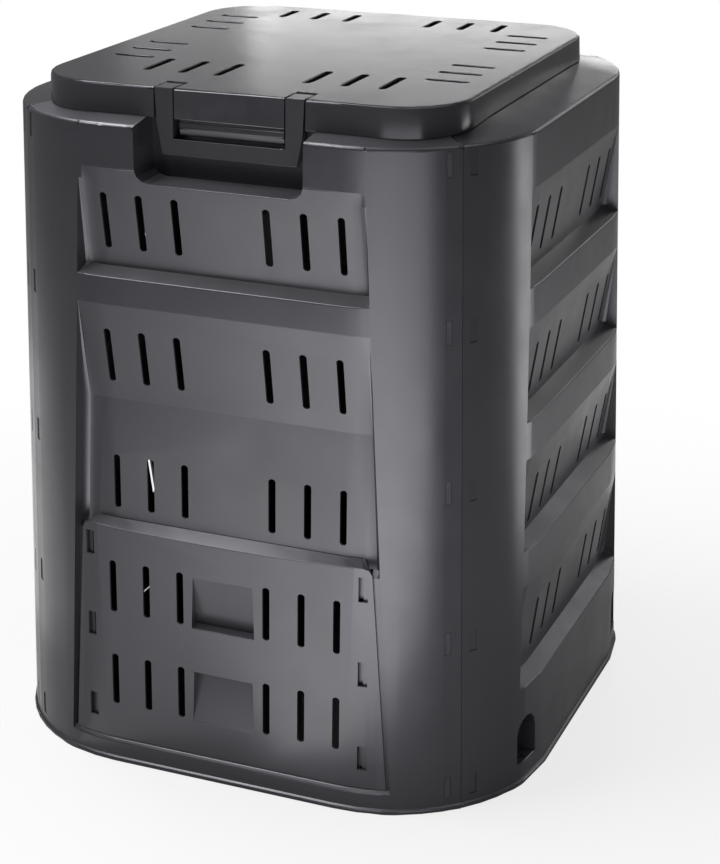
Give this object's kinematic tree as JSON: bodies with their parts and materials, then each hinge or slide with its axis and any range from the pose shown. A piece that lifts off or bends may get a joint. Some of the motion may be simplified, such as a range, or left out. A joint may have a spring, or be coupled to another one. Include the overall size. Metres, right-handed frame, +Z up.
{
  "type": "garden compost bin",
  "caption": "Square tapered plastic compost bin with slotted snap-together walls, a hinged vented lid held by a swinging clasp, and a sliding hatch at the foot for emptying.",
  "frame": {"origin": "on the ground under the middle of the bin's square foot", "axes": "+Z up, the hatch and the lid's clasp face -Y, +X is to the right of somebody who faces the hatch"},
  "size_m": [0.72, 0.72, 0.864],
  "materials": {
    "body_plastic": "fine-grained injection-moulded dark grey",
    "lid_plastic": "satin injection-moulded dark grey",
    "clasp_plastic": "satin injection-moulded dark grey"
  },
  "bodies": {
    "bin": {"front_wall": "body_plastic", "right_wall": "body_plastic", "back_wall": "body_plastic", "left_wall": "body_plastic"},
    "lid": {"lid": "lid_plastic"},
    "clasp": {"clasp_handle": "clasp_plastic"},
    "hatch": {"hatch": "body_plastic"}
  },
  "joints": [
    {"name": "lid_hinge", "type": "hinge", "parent": "bin", "child": "lid", "pos_m": [0, 0.28606, 0.84177], "axis": [-1, 0, 0], "range_deg": [0, 100]},
    {"name": "clasp_hinge", "type": "hinge", "parent": "lid", "child": "clasp", "pos_m": [0, -0.26446, 0.8592], "axis": [-1, 0, 0], "range_deg": [0, 100]},
    {"name": "hatch_slide", "type": "slide", "parent": "bin", "child": "hatch", "axis": [0, 0.035, 0.9994], "range_m": [0, 0.07]}
  ]
}
